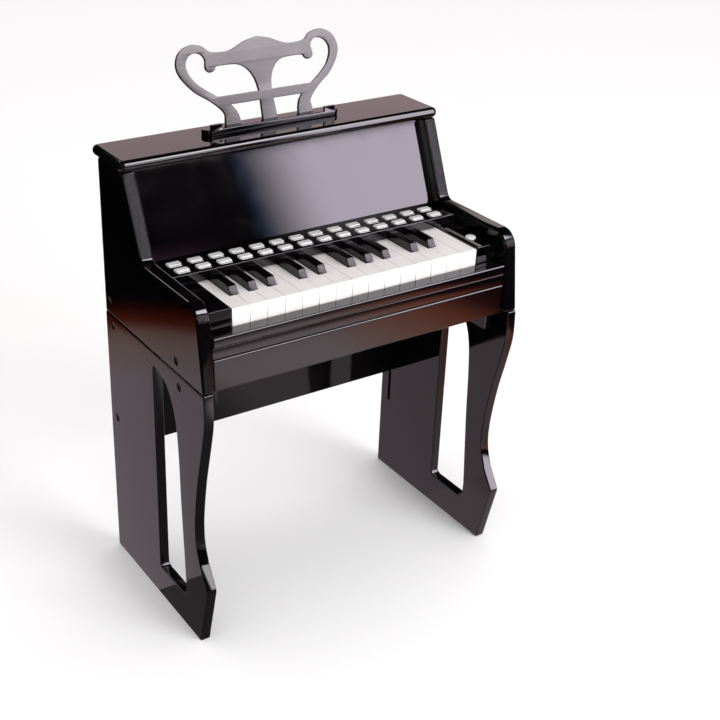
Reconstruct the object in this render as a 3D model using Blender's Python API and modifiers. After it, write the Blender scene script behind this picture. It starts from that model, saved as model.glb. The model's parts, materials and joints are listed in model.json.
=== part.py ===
"""Toy electronic keyboard built as a small wooden upright piano.

A lacquered cabinet (side panels, lid, fallboard, key bed) stands on two board legs.  It holds
fifteen white and ten black keys, two rows of push buttons, a round power button, a loudspeaker,
a circuit board and a battery door at the back.  A scroll-cut music rest lifts off the lid.

Metres, +Z up, +X to the player's right, -Y towards the player.  The origin is on the floor, in
the middle of the whole width and depth.
"""
from math import atan2, cos, degrees, pi, radians, sin, sqrt, tan

import bmesh
import bpy
from mathutils import Matrix, Vector

# ---------------------------------------------------------------- driving dimensions
GAP = 0.0003                 # clearance between glued or screwed neighbours
WIDTH = 0.412                # outside of one side panel to outside of the other
HALF = WIDTH / 2
PANEL_T = 0.016              # side panel board
LEG_T = 0.012                # leg board
BOARD = 0.012                # lid, key bed, apron and slip boards
INSIDE = HALF - PANEL_T      # half the clear width between the side panels
FIT = INSIDE - GAP           # half the length of a board between the side panels

# Depths are laid out from a datum just in front of the keys; this puts the middle at y = 0.
DEPTH_DATUM = -0.11121
TOE_D = -0.0158              # foremost point: the toes of the legs
LID_BACK_D = 0.2335          # rearmost point: the back edge of the lid
BACK_D = 0.2231              # back edge of side panels and legs

SEAM_Z = 0.3273              # side panel stands on leg here
LID_TOP = 0.5232
LID_UNDER = LID_TOP - BOARD
ARM_TOP = 0.4213             # level arms of the side panels beside the keys
SLOPE = 0.431                # depth gained per metre of rise by panel edges and fallboard

KEY_BED_TOP = 0.3728
SLIP_TOP = 0.3846
SLIP_FRONT_D = -0.0065
KEY_FRONT_D = 0.0119
KEY_TOP = 0.4036
BLOCK_TOP = 0.4051
PANEL_FRONT_D = 0.0868       # front edge of the control panel
PANEL_TOP = 0.4160
PANEL_PLATE = 0.0027

# Recesses for the barrel nuts: depth and height of each, on the outside of both sides
NUT_R = 0.0052
NUT_RECESS = 0.0030
PANEL_NUTS = ((0.0448, 0.3416), (0.2110, 0.3446))
LEG_NUTS = ((0.0399, 0.3125), (0.2045, 0.3152), (0.2054, 0.1929))

# Keys
WHITE_COUNT = 15
KEY_PITCH = 0.0212
KEY_GAP = 0.0005
KEYS_LEFT = -0.1573
KEY_SLAB = 0.0060            # thickness of a key's body
KEY_LIP_Z = 0.3800           # lower end of a white key's front lip
KEY_TAIL_D = 0.1840
PIVOT_D = 0.1800             # rail that every key rocks on
PIVOT_Z = KEY_TOP - KEY_SLAB - 0.0003
BLACK_TOP = 0.4126
BLACK_WIDTH = 0.0106
BLACK_TAPER = 0.0006         # inset of each flank at the top
BLACK_FRONT_D = 0.0412
BLACK_RAKE = 0.0050          # how far the front face leans back
BLACK_BACK_D = 0.0862
NOTCH_GAP = 0.0007
# Black key after white key number n (counted from 0), and its sideways shift.
BLACK_KEYS = [(0, -0.002), (1, 0.0), (2, 0.002), (4, -0.0015), (5, 0.0015),
              (7, -0.002), (8, 0.0), (9, 0.002), (11, -0.0015), (12, 0.0015)]

# Push buttons: columns of one rear and one front cap, moulded on a common web
COLUMNS = 14
COLUMN_PITCH = 0.0257
COLUMN_LEFT = -0.1696
BUTTON_W = 0.0160
BUTTON_D = 0.0085
BUTTON_CORNER = 0.0016
BUTTON_ROWS_D = (0.0990, 0.1172)
BUTTON_SHIFT = 0.0004        # the rear cap of a column sits this much further left
BUTTON_PROUD = 0.0018
BUTTON_CLEAR = 0.0004
WEB_Z = (0.4094, 0.4108)

POWER_X = 0.1735
POWER_D = 0.0395
POWER_R = 0.0060
POWER_PROUD = 0.0024

# Back board
SPEAKER_X = -0.090
SPEAKER_Z = 0.450
SPEAKER_SLOT_R = 0.028
SPEAKER_SLOT_PITCH = 0.0075
DOOR_XS = (0.050, 0.122)
DOOR_ZS = (0.416, 0.482)

# Music rest
REST_D = 0.2000              # depth of its plane at the lid's top
REST_LEAN = 0.39             # depth gained per metre of rise
REST_T = 0.0040
BASE_LENGTH = 0.178
BASE_DEPTH = 0.018
BASE_T = 0.0063
STADIUM_STEPS = 10           # facets in each round end of the base
PEG_R = 0.0030
PEG_X = 0.060
PEG_LENGTH = 0.0080


def y(depth):
    """World y of a depth measured from the datum."""
    return depth + DEPTH_DATUM


# ---------------------------------------------------------------- scene and materials
def clear_scene():
    for old in list(bpy.data.objects):
        bpy.data.objects.remove(old, do_unlink=True)


def new_collection(name):
    collection = bpy.data.collections.new(name)
    bpy.context.scene.collection.children.link(collection)
    return collection


clear_scene()
PARTS = new_collection("toy_electronic_keyboard")
CUTTERS = new_collection("cutters")


def material(name, colour, roughness, metallic=0.0, coat=0.0):
    mat = bpy.data.materials.new(name)
    mat.use_nodes = True
    shader = mat.node_tree.nodes["Principled BSDF"]
    shader.inputs["Base Color"].default_value = (*colour, 1.0)
    shader.inputs["Roughness"].default_value = roughness
    shader.inputs["Metallic"].default_value = metallic
    shader.inputs["Coat Weight"].default_value = coat
    mat.diffuse_color = (*colour, 1.0)
    return mat


LACQUER = material("black_lacquer", (0.012, 0.010, 0.011), 0.12, coat=1.0)
KEY_WHITE = material("white_key_plastic", (0.80, 0.77, 0.77), 0.22)
KEY_BLACK = material("black_key_plastic", (0.015, 0.015, 0.017), 0.25)
BUTTON_GREY = material("button_plastic", (0.62, 0.60, 0.60), 0.35)
SILVER = material("silver_plastic", (0.66, 0.65, 0.66), 0.28, metallic=0.6)
DARK_PLASTIC = material("dark_plastic", (0.02, 0.02, 0.022), 0.5)
BOARD_GREEN = material("circuit_board", (0.02, 0.16, 0.06), 0.45)
SPEAKER_STEEL = material("speaker_steel", (0.35, 0.35, 0.36), 0.4, metallic=0.9)
BACK_BOARD = material("back_board", (0.02, 0.018, 0.018), 0.45)


# ---------------------------------------------------------------- shape helpers
def put(name, mesh, mat, collection=None):
    """Wrap a mesh in a named object, with smooth shading broken at sharp edges."""
    obj = bpy.data.objects.new(name, mesh)
    (collection or PARTS).objects.link(obj)
    if mat is not None:
        mesh.materials.clear()
        mesh.materials.append(mat)
    mesh.shade_smooth()
    mesh.set_sharp_from_angle(angle=radians(32))
    return obj


def set_origin(obj, point):
    """Move an object's origin to a world point, leaving its surface where it is."""
    obj.data.transform(Matrix.Translation(-Vector(point)))
    obj.location = point


def bevel(obj, width, segments=2, angle=35):
    """Round the edges; every width stays below the radius of the arcs that it runs along."""
    mod = obj.modifiers.new("bevel", "BEVEL")
    mod.width = width
    mod.segments = segments
    mod.limit_method = "ANGLE"
    mod.angle_limit = radians(angle)
    mod.use_clamp_overlap = False


def box(name, xs, ys, zs, mat, collection=None):
    """Box between two x, two y and two z values."""
    bm = bmesh.new()
    bmesh.ops.create_cube(bm, size=1.0)
    size = Vector((xs[1] - xs[0], ys[1] - ys[0], zs[1] - zs[0]))
    middle = Vector((sum(xs) / 2, sum(ys) / 2, sum(zs) / 2))
    bmesh.ops.scale(bm, vec=size, verts=bm.verts)
    bmesh.ops.translate(bm, vec=middle, verts=bm.verts)
    mesh = bpy.data.meshes.new(name)
    bm.to_mesh(mesh)
    bm.free()
    return put(name, mesh, mat, collection)


def rod(name, radius, x, y_mid, zs, mat, sides=24, collection=None):
    """Upright cylinder between two z values."""
    bm = bmesh.new()
    bmesh.ops.create_cone(bm, cap_ends=True, segments=sides, radius1=radius, radius2=radius,
                          depth=zs[1] - zs[0])
    bmesh.ops.translate(bm, vec=(x, y_mid, sum(zs) / 2), verts=bm.verts)
    mesh = bpy.data.meshes.new(name)
    bm.to_mesh(mesh)
    bm.free()
    return put(name, mesh, mat, collection)


def fillet(corners, step=15):
    """Closed outline from (u, v, radius) corners, each rounded by an arc."""
    outline = []
    count = len(corners)
    for i, (u, v, radius) in enumerate(corners):
        here = Vector((u, v))
        before = (Vector(corners[i - 1][:2]) - here).normalized()
        after = (Vector(corners[(i + 1) % count][:2]) - here).normalized()
        if radius <= 0:
            outline.append(here)
            continue
        half = before.angle(after) / 2
        centre = here + (before + after).normalized() * radius / sin(half)
        start = here + before * radius / tan(half) - centre
        end = here + after * radius / tan(half) - centre
        turn = start.angle_signed(end)
        pieces = max(2, round(abs(degrees(turn)) / step))
        first = atan2(start.y, start.x)
        for k in range(pieces + 1):
            a = first - turn * k / pieces
            outline.append(centre + Vector((cos(a), sin(a))) * radius)
    return outline


def smooth(points, per_span=5):
    """Curve through the points (Catmull-Rom), ends included."""
    knots = [Vector(p) for p in points]
    knots = [2 * knots[0] - knots[1]] + knots + [2 * knots[-1] - knots[-2]]
    curve = []
    for i in range(1, len(knots) - 2):
        a, b, c, d = knots[i - 1:i + 3]
        for k in range(per_span):
            t = k / per_span
            curve.append(0.5 * (2 * b + (c - a) * t + (2 * a - 5 * b + 4 * c - d) * t ** 2
                                + (3 * b - a - 3 * c + d) * t ** 3))
    curve.append(knots[-2])
    return curve


def flat_shape(name, outlines, thickness, frame, mat, collection=None):
    """Board cut to flat outlines, later ones being its holes.

    The outlines lie in the XY plane of the frame, and the thickness is centred on it.
    """
    curve = bpy.data.curves.new(name + "_outline", "CURVE")
    curve.dimensions = "2D"
    curve.fill_mode = "BOTH"
    curve.extrude = thickness / 2
    for outline in outlines:
        spline = curve.splines.new("POLY")
        spline.points.add(len(outline) - 1)
        for point, (u, v) in zip(spline.points, outline):
            point.co = (u, v, 0.0, 1.0)
        spline.use_cyclic_u = True
    guide = bpy.data.objects.new(name + "_outline", curve)
    CUTTERS.objects.link(guide)
    guide.matrix_world = frame
    bpy.context.view_layer.update()
    graph = bpy.context.evaluated_depsgraph_get()
    mesh = bpy.data.meshes.new_from_object(guide.evaluated_get(graph))
    mesh.name = name
    bm = bmesh.new()
    bm.from_mesh(mesh)
    bmesh.ops.remove_doubles(bm, verts=bm.verts, dist=0.00001)
    bmesh.ops.recalc_face_normals(bm, faces=bm.faces)
    bmesh.ops.transform(bm, matrix=frame, verts=bm.verts)
    bm.to_mesh(mesh)
    bm.free()
    bpy.data.objects.remove(guide, do_unlink=True)
    return put(name, mesh, mat, collection)


def side_frame(x):
    """Frame whose plane is world YZ at the given x (u along +Y, v along +Z)."""
    return Matrix(((0, 0, 1, x), (1, 0, 0, 0), (0, 1, 0, 0), (0, 0, 0, 1)))


def level_frame(z):
    return Matrix.Translation((0.0, 0.0, z))


def wall_frame(y_mid):
    """Frame whose plane is world XZ at the given y (u along +X, v along +Z)."""
    return Matrix(((1, 0, 0, 0), (0, 0, -1, y_mid), (0, 1, 0, 0), (0, 0, 0, 1)))


def combine(obj, other, operation):
    """Boolean with another object, which becomes a hidden cutter."""
    for collection in list(other.users_collection):
        collection.objects.unlink(other)
    CUTTERS.objects.link(other)
    other.hide_render = True
    other.display_type = "WIRE"
    mod = obj.modifiers.new(operation.lower(), "BOOLEAN")
    mod.solver = "MANIFOLD"
    mod.operation = operation
    mod.object = other
    return obj


def cut(obj, other):
    return combine(obj, other, "DIFFERENCE")


def join(obj, other):
    return combine(obj, other, "UNION")


def rectangle(us, vs, corner=0.0, step=30):
    """Counter-clockwise rectangle, with rounded corners if corner is given."""
    corners = [(us[0], vs[0], corner), (us[1], vs[0], corner), (us[1], vs[1], corner),
               (us[0], vs[1], corner)]
    return fillet(corners, step)


def arc(u, v, radius, start, turn, steps):
    """Points round a centre, from one angle through a turn."""
    angles = [start + turn * k / steps for k in range(steps + 1)]
    return [Vector((u + radius * cos(a), v + radius * sin(a))) for a in angles]


def turned(name, profile, mat, matrix, steps=28):
    """Solid turned from a profile of (radius, height) points, listed from the top down."""
    mesh = bpy.data.meshes.new(name)
    bm = bmesh.new()
    verts = [bm.verts.new((radius, 0.0, height)) for radius, height in profile]
    for first, second in zip(verts, verts[1:]):
        bm.edges.new((first, second))
    bm.to_mesh(mesh)
    bm.free()
    obj = put(name, mesh, mat)
    obj.matrix_world = matrix
    mod = obj.modifiers.new("turn", "SCREW")
    mod.axis = "Z"
    mod.steps = steps
    mod.render_steps = steps
    mod.use_merge_vertices = True
    mod.merge_threshold = 0.0001
    return obj


# ---------------------------------------------------------------- cabinet
def cut_nut_recesses(board, side, places):
    """Shallow round recesses in the outside of a side panel or leg."""
    for depth, height in places:
        outline = arc(y(depth), height, NUT_R, 0.0, 2 * pi, 20)[:-1]
        cut(board, flat_shape("nut_recess", [outline], 2 * NUT_RECESS, side_frame(side * HALF), None))


def side_panels():
    """Upper side boards: upright back, sloping edge, level arm and rounded nose."""
    slope_top = 0.1605
    kink_z = ARM_TOP
    kink_d = slope_top - (LID_UNDER - kink_z) * SLOPE
    foot_d = -0.0143
    nose_d = -0.0010
    corners = [(y(BACK_D), SEAM_Z, 0.0), (y(BACK_D), LID_UNDER - GAP, 0.0),
               (y(slope_top), LID_UNDER - GAP, 0.0), (y(kink_d), kink_z, 0.012),
               (y(nose_d), ARM_TOP, 0.021), (y(foot_d), SEAM_Z, 0.0)]
    for name, side in (("left_side_panel", -1), ("right_side_panel", 1)):
        middle = side * (HALF - PANEL_T / 2)
        panel = flat_shape(name, [fillet(corners, 9)], PANEL_T, side_frame(middle), LACQUER)
        bevel(panel, 0.0026, segments=3)
        cut_nut_recesses(panel, side, PANEL_NUTS)


def lid():
    """Top board with a rounded edge and two blind holes for the music rest's pegs."""
    overhang = 0.0025
    front_d = 0.1585
    outline = rectangle((-HALF - overhang, HALF + overhang), (y(front_d), y(LID_BACK_D)), 0.0066,
                        step=18)
    board = flat_shape("lid", [outline], BOARD, level_frame(LID_TOP - BOARD / 2), LACQUER)
    bevel(board, 0.0056, segments=5)
    for side in (-1, 1):
        hole = rod("peg_hole", PEG_R + 0.0004, side * PEG_X, y(REST_D),
                   (LID_TOP - PEG_LENGTH - 0.001, LID_TOP + 0.004), None, sides=16)
        cut(board, hole)


def fallboard():
    """Sloping front board between the side panels, under the lid."""
    bottom_z = PANEL_TOP + GAP
    top_z = LID_UNDER - GAP
    bottom_d = 0.1327
    top_d = bottom_d + (top_z - bottom_z) * SLOPE
    through = 0.0098         # measured level, so the board itself is 9 mm thick
    corners = [(y(bottom_d), bottom_z), (y(bottom_d + through), bottom_z),
               (y(top_d + through), top_z), (y(top_d), top_z)]
    flat_shape("fallboard", [corners], 2 * FIT, side_frame(0.0), LACQUER)


def key_bed():
    bed = box("key_bed", (-FIT, FIT), (y(-0.0050), y(0.2142)),
              (KEY_BED_TOP - BOARD - 0.0005, KEY_BED_TOP), LACQUER)
    bevel(bed, 0.0006, segments=1)


def key_slip():
    """Front strip over the key bed, a finger's width in front of the keys."""
    slip = box("key_slip", (-FIT, FIT), (y(SLIP_FRONT_D), y(KEY_FRONT_D - 0.0007)),
               (KEY_BED_TOP + GAP, SLIP_TOP), LACQUER)
    bevel(slip, 0.0018, segments=3)


def apron():
    rail = box("apron_rail", (-FIT, FIT), (y(SLIP_FRONT_D), y(SLIP_FRONT_D + BOARD)),
               (0.3240, KEY_BED_TOP - BOARD - 0.0005 - GAP), LACQUER)
    bevel(rail, 0.0016, segments=3)


def key_blocks():
    """Blocks between the end keys and the side panels; the right one takes the power button."""
    left_edge = KEYS_LEFT - KEY_GAP
    right_edge = KEYS_LEFT + WHITE_COUNT * KEY_PITCH + KEY_GAP
    depth = (y(KEY_FRONT_D + 0.0002), y(PANEL_FRONT_D - GAP))
    height = (KEY_BED_TOP + GAP, BLOCK_TOP)
    left = box("left_key_block", (-FIT, left_edge), depth, height, LACQUER)
    bevel(left, 0.0006, segments=1)
    right = box("right_key_block", (right_edge, FIT), depth, height, LACQUER)
    bevel(right, 0.0006, segments=1)
    well = rod("power_well", POWER_R + 0.0004, POWER_X, y(POWER_D),
               (BLOCK_TOP - 0.0106, BLOCK_TOP + 0.002), None, sides=24)
    cut(right, well)


def back_panel():
    """Thin back board with loudspeaker slots and the battery opening."""
    top_z = LID_UNDER - GAP
    bottom_z = KEY_BED_TOP - BOARD - 0.0005
    outlines = [rectangle((-FIT, FIT), (bottom_z, top_z))]
    for k in range(-3, 4):
        aside = SPEAKER_SLOT_PITCH * k
        x = SPEAKER_X + aside
        reach = sqrt(SPEAKER_SLOT_R ** 2 - aside ** 2)
        outlines.append(rectangle((x - 0.0015, x + 0.0015),
                                  (SPEAKER_Z - reach, SPEAKER_Z + reach)))
    outlines.append(rectangle(DOOR_XS, DOOR_ZS, 0.003, step=45))
    flat_shape("back_panel", outlines, 0.0045, wall_frame(y(0.21675)), BACK_BOARD)


def battery_door():
    """Plate in the back board's opening, with a moulded finger rib."""
    clear = 0.0005
    outline = rectangle((DOOR_XS[0] + clear, DOOR_XS[1] - clear),
                        (DOOR_ZS[0] + clear, DOOR_ZS[1] - clear), 0.0028, step=45)
    door = flat_shape("battery_door", [outline], 0.0035, wall_frame(y(0.2172)), DARK_PLASTIC)
    middle = sum(DOOR_XS) / 2
    set_origin(door, (middle, y(0.2172), sum(DOOR_ZS) / 2))
    rib = box("door_rib", (middle - 0.012, middle + 0.012), (y(0.2180), y(0.2204)),
              (DOOR_ZS[1] - 0.0085, DOOR_ZS[1] - 0.0065), None)
    join(door, rib)


def speaker():
    """Loudspeaker: rim against the back board, basket and magnet facing inwards."""
    profile = [(0.0, 0.0), (0.033, 0.0), (0.033, -0.0025), (0.0285, -0.0025), (0.020, -0.013),
               (0.0175, -0.013), (0.0175, -0.024), (0.0, -0.024)]
    towards_back = Matrix.Rotation(radians(-90), 4, "X")
    place = Matrix.Translation((SPEAKER_X, y(0.2142), SPEAKER_Z)) @ towards_back
    turned("speaker", profile, SPEAKER_STEEL, place, steps=24)


# ---------------------------------------------------------------- stand
def legs():
    """Leg boards: a curved front post and a wide rear post round a tall opening."""
    top_z = SEAM_Z - GAP
    front = smooth([(y(0.0005), 0.1050), (y(0.0085), 0.1270), (y(0.0105), 0.1480),
                    (y(0.0085), 0.1750), (y(0.0020), 0.2150), (y(-0.0075), 0.2550),
                    (y(-0.0150), 0.2920), (y(-0.0145), top_z)], per_span=4)
    foot = fillet([(y(BACK_D), 0.0, 0.0), (y(0.0030), 0.0, 0.0), (y(TOE_D), 0.0800, 0.006),
                   (y(0.0005), 0.1050, 0.0), (y(BACK_D), top_z, 0.0)], step=20)
    outer = foot[:-2] + front + foot[-1:]
    arch = smooth([(y(0.0372), 0.0620), (y(0.0395), 0.0950), (y(0.0440), 0.1600),
                   (y(0.0468), 0.2200), (y(0.0510), 0.2600), (y(0.0600), 0.2850),
                   (y(0.0740), 0.3020), (y(0.0930), 0.3095)], per_span=4)
    ends = fillet([(y(0.0372), 0.0620, 0.0), (y(0.0930), 0.3095, 0.0), (y(0.1028), 0.3095, 0.003),
                   (y(0.1028), 0.0410, 0.006), (y(0.0380), 0.0410, 0.008)], step=22)
    opening = arch + ends[2:]
    for name, side in (("left_leg", -1), ("right_leg", 1)):
        middle = side * (HALF - LEG_T / 2)
        leg = flat_shape(name, [outer, opening], LEG_T, side_frame(middle), LACQUER)
        bevel(leg, 0.0014)
        cut_nut_recesses(leg, side, LEG_NUTS)
        inner = side * (HALF - LEG_T)
        xs = sorted((inner - side * 0.002, inner + side * 0.003))
        groove = flat_shape(name + "_groove",
                            [rectangle((y(0.2022), y(0.2077)), (0.104, 0.150), 0.0024)],
                            xs[1] - xs[0], side_frame(sum(xs) / 2), None)
        cut(leg, groove)


def rear_stretcher():
    reach = HALF - LEG_T - GAP
    board = box("rear_stretcher", (-reach, reach), (y(0.2005), y(0.2095)), (0.1520, 0.3220),
                LACQUER)
    bevel(board, 0.0010, segments=1)


# ---------------------------------------------------------------- keys and what carries them
def key_frame():
    """Moulded tray on the key bed: base plate and the rear rail that the keys rock on."""
    xs = (KEYS_LEFT + 0.001, KEYS_LEFT + WHITE_COUNT * KEY_PITCH - 0.001)
    base_z = KEY_BED_TOP + GAP
    plate_z = base_z + 0.0024
    rail_z = PIVOT_Z - 0.0002
    corners = [(y(0.0160), base_z), (y(0.1950), base_z), (y(0.1950), plate_z),
               (y(PIVOT_D + 0.0032), plate_z), (y(PIVOT_D + 0.0012), rail_z),
               (y(PIVOT_D - 0.0012), rail_z), (y(PIVOT_D - 0.0032), plate_z),
               (y(0.0160), plate_z)]
    flat_shape("key_frame", [corners], xs[1] - xs[0], side_frame(sum(xs) / 2), DARK_PLASTIC)


def circuit_board():
    """Board under the control panel, below the push buttons."""
    box("circuit_board", (-0.176, 0.176), (y(0.0905), y(0.1400)), (0.4050, 0.4066), BOARD_GREEN)


def black_key_centre(number):
    after, shift = BLACK_KEYS[number]
    return KEYS_LEFT + (after + 1) * KEY_PITCH + shift


def white_keys():
    """White keys: slab and front lip in one, notched beside each black key."""
    under = KEY_TOP - KEY_SLAB
    lip = 0.0030
    profile = [(y(KEY_FRONT_D), KEY_LIP_Z), (y(KEY_FRONT_D + lip), KEY_LIP_Z),
               (y(KEY_FRONT_D + lip), under), (y(KEY_TAIL_D), under), (y(KEY_TAIL_D), KEY_TOP),
               (y(KEY_FRONT_D), KEY_TOP)]
    notch = BLACK_WIDTH / 2 + NOTCH_GAP
    for n in range(WHITE_COUNT):
        left = KEYS_LEFT + n * KEY_PITCH + KEY_GAP / 2
        right = left + KEY_PITCH - KEY_GAP
        name = "white_key_%02d" % (n + 1)
        key = flat_shape(name, [profile], right - left, side_frame((left + right) / 2), KEY_WHITE)
        set_origin(key, ((left + right) / 2, y(PIVOT_D), PIVOT_Z))
        bevel(key, 0.0006, segments=1, angle=80)
        for number, (after, _) in enumerate(BLACK_KEYS):
            if after not in (n - 1, n):
                continue
            centre = black_key_centre(number)
            slot = box("notch", (centre - notch, centre + notch),
                       (y(BLACK_FRONT_D - NOTCH_GAP), y(KEY_TAIL_D + 0.004)),
                       (under - 0.003, KEY_TOP + 0.003), None)
            cut(key, slot)


def black_keys():
    """Black keys: raised cap with a raked front, on a tail as thin as a white key."""
    under = KEY_TOP - KEY_SLAB
    profile = [(y(BLACK_FRONT_D), under), (y(KEY_TAIL_D), under), (y(KEY_TAIL_D), KEY_TOP - 0.0006),
               (y(BLACK_BACK_D), KEY_TOP - 0.0006), (y(BLACK_BACK_D), BLACK_TOP),
               (y(BLACK_FRONT_D + BLACK_RAKE), BLACK_TOP), (y(BLACK_FRONT_D), KEY_TOP)]
    for number in range(len(BLACK_KEYS)):
        centre = black_key_centre(number)
        name = "black_key_%02d" % (number + 1)
        key = flat_shape(name, [profile], BLACK_WIDTH, side_frame(centre), KEY_BLACK)
        for vert in key.data.vertices:
            if vert.co.z > BLACK_TOP - 0.0001:
                vert.co.x -= BLACK_TAPER if vert.co.x > centre else -BLACK_TAPER
        set_origin(key, (centre, y(PIVOT_D), PIVOT_Z))
        bevel(key, 0.0009, angle=50)


# ---------------------------------------------------------------- control panel and buttons
def column_x(column):
    return COLUMN_LEFT + column * COLUMN_PITCH


def button_outline(x, depth, grow=0.0):
    half_w = BUTTON_W / 2 + grow
    half_d = BUTTON_D / 2 + grow
    return rectangle((x - half_w, x + half_w), (y(depth) - half_d, y(depth) + half_d),
                     BUTTON_CORNER + grow, step=30)


def cap_x(column, row):
    """Middle of a cap: row 0 is the front one, row 1 the rear one."""
    return column_x(column) - BUTTON_SHIFT * row


def control_panel():
    """Plate over the buttons with a front fascia that reaches down to the keys."""
    fascia_t = 0.0020
    under = PANEL_TOP - PANEL_PLATE
    profile = [(y(PANEL_FRONT_D), PANEL_TOP), (y(PANEL_FRONT_D), KEY_TOP + 0.0008),
               (y(PANEL_FRONT_D + fascia_t), KEY_TOP + 0.0008),
               (y(PANEL_FRONT_D + fascia_t), under), (y(0.1435), under), (y(0.1435), PANEL_TOP)]
    panel = flat_shape("control_panel", [profile], 2 * FIT, side_frame(0.0), LACQUER)
    bevel(panel, 0.0007)
    outlines = [button_outline(cap_x(column, row), depth, BUTTON_CLEAR)
                for column in range(COLUMNS) for row, depth in enumerate(BUTTON_ROWS_D)]
    holes = flat_shape("button_holes", outlines, PANEL_PLATE + 0.002,
                       level_frame(PANEL_TOP - PANEL_PLATE / 2), None)
    cut(panel, holes)


def button_columns():
    """Fourteen button mouldings, each a front and a rear cap on one web, sharing one mesh."""
    half_w = BUTTON_W / 2
    web = box("button_column", (-half_w, half_w),
              (y(BUTTON_ROWS_D[0] - 0.005), y(BUTTON_ROWS_D[1] + 0.005)), WEB_Z, BUTTON_GREY)
    for row, depth in enumerate(BUTTON_ROWS_D):
        top = PANEL_TOP + BUTTON_PROUD
        bottom = WEB_Z[0] + 0.0004
        cap = flat_shape("cap", [button_outline(-BUTTON_SHIFT * row, depth)], top - bottom,
                         level_frame((top + bottom) / 2), None)
        bevel(cap, 0.0010)
        join(web, cap)
    bpy.context.view_layer.update()
    graph = bpy.context.evaluated_depsgraph_get()
    mesh = bpy.data.meshes.new_from_object(web.evaluated_get(graph))
    for cutter in [mod.object for mod in web.modifiers]:
        bpy.data.objects.remove(cutter, do_unlink=True)
    bpy.data.objects.remove(web, do_unlink=True)
    middle = (0.0, y(sum(BUTTON_ROWS_D) / 2), WEB_Z[0])
    mesh.transform(Matrix.Translation(-Vector(middle)))
    for column in range(COLUMNS):
        copy = put("buttons_%02d" % (column + 1), mesh, BUTTON_GREY)
        copy.location = (column_x(column), middle[1], middle[2])


def power_button():
    top = BLOCK_TOP + POWER_PROUD
    profile = [(0.0, top), (POWER_R - 0.0009, top), (POWER_R, top - 0.0007),
               (POWER_R, BLOCK_TOP - 0.0080), (0.0, BLOCK_TOP - 0.0080)]
    turned("power_button", profile, SILVER, Matrix.Translation((POWER_X, y(POWER_D), 0.0)), 24)


# ---------------------------------------------------------------- music rest
def rest_frame():
    """Plane of the music rest: u along +X, v up its slope, from the top of its base."""
    lean = atan2(REST_LEAN, 1.0)
    foot_z = LID_TOP + GAP + BASE_T
    foot_y = y(REST_D + (foot_z - LID_TOP) * REST_LEAN)
    return Matrix.Translation((0.0, foot_y, foot_z)) @ Matrix.Rotation(pi / 2 - lean, 4, "X")


def mirrored(points):
    return [Vector((-p[0], p[1])) for p in reversed(points)]


def music_rest():
    """Scroll-cut board: two volutes and a stem over a crossbar, on three feet."""
    below = -0.006           # the feet run on and are cut level with the base
    outer = smooth([(0.0578, below), (0.0575, 0.004), (0.0566, 0.012), (0.0628, 0.0205),
                    (0.0740, 0.0300), (0.0865, 0.0385), (0.0965, 0.0490), (0.1040, 0.0610),
                    (0.1055, 0.0720), (0.1010, 0.0830), (0.0920, 0.0895), (0.0810, 0.0913),
                    (0.0700, 0.0885), (0.0640, 0.0830), (0.0570, 0.0805), (0.0400, 0.0798),
                    (0.0280, 0.0835), (0.0160, 0.0885), (0.0000, 0.0920)], per_span=3)
    foot_inner = smooth([(0.0468, 0.0215), (0.0420, 0.0150), (0.0388, 0.0070), (0.0374, below)],
                        per_span=3)
    stem_foot = smooth([(0.0100, below), (0.0092, 0.0080), (0.0085, 0.0215)], per_span=3)
    half = stem_foot + foot_inner + outer
    outline = half + mirrored(half)[1:]
    loop = smooth([(0.0083, 0.0318), (0.0108, 0.0455), (0.0175, 0.0570), (0.0275, 0.0637),
                   (0.0400, 0.0652), (0.0560, 0.0650), (0.0585, 0.0620), (0.0620, 0.0595),
                   (0.0665, 0.0595), (0.0700, 0.0630), (0.0700, 0.0680), (0.0690, 0.0740),
                   (0.0730, 0.0800), (0.0800, 0.0822), (0.0880, 0.0795), (0.0935, 0.0720),
                   (0.0928, 0.0620), (0.0860, 0.0505), (0.0750, 0.0410), (0.0615, 0.0318)],
                  per_span=3)
    frame = rest_frame()
    board = flat_shape("music_rest", [outline, loop, mirrored(loop)], REST_T, frame, LACQUER)
    bevel(board, 0.0004, segments=1)
    set_origin(board, (0.0, y(REST_D), LID_TOP))
    base_top = LID_TOP + GAP + BASE_T
    level = box("rest_level", (-0.09, 0.09), (y(0.17), y(0.23)), (base_top - 0.02, base_top + GAP),
                None)
    cut(board, level)


def music_rest_base():
    """Bar with round ends that carries the rest, with two stops in front and two pegs below."""
    bottom = LID_TOP + GAP
    half_l = BASE_LENGTH / 2
    half_d = BASE_DEPTH / 2
    outline = []
    for side in (1, -1):
        outline += arc(side * (half_l - half_d), y(REST_D), half_d, -side * pi / 2, pi, STADIUM_STEPS)
    bar = flat_shape("music_rest_base", [outline], BASE_T, level_frame(bottom + BASE_T / 2), LACQUER)
    set_origin(bar, (0.0, y(REST_D), LID_TOP))
    bevel(bar, 0.0008, segments=1)
    for side in (-1, 1):
        xs = sorted((side * 0.0680, side * 0.0815))
        stop = box("book_stop", xs, (y(REST_D) - half_d + 0.0006, y(REST_D) - half_d + 0.0044),
                   (bottom + BASE_T / 2, bottom + BASE_T + 0.0058), None)
        join(bar, stop)
        peg = rod("peg", PEG_R, side * PEG_X, y(REST_D), (LID_TOP - PEG_LENGTH, bottom + BASE_T / 2),
                  None, sides=16)
        join(bar, peg)


# ---------------------------------------------------------------- build
side_panels()
lid()
fallboard()
key_bed()
key_slip()
apron()
key_blocks()
back_panel()
battery_door()
speaker()
legs()
rear_stretcher()
key_frame()
circuit_board()
white_keys()
black_keys()
control_panel()
button_columns()
power_button()
music_rest()
music_rest_base()
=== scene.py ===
"""Looks of the toy electronic keyboard: camera, materials, small fittings, insides and studio."""
import json
from math import cos, pi, radians, sin

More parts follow.
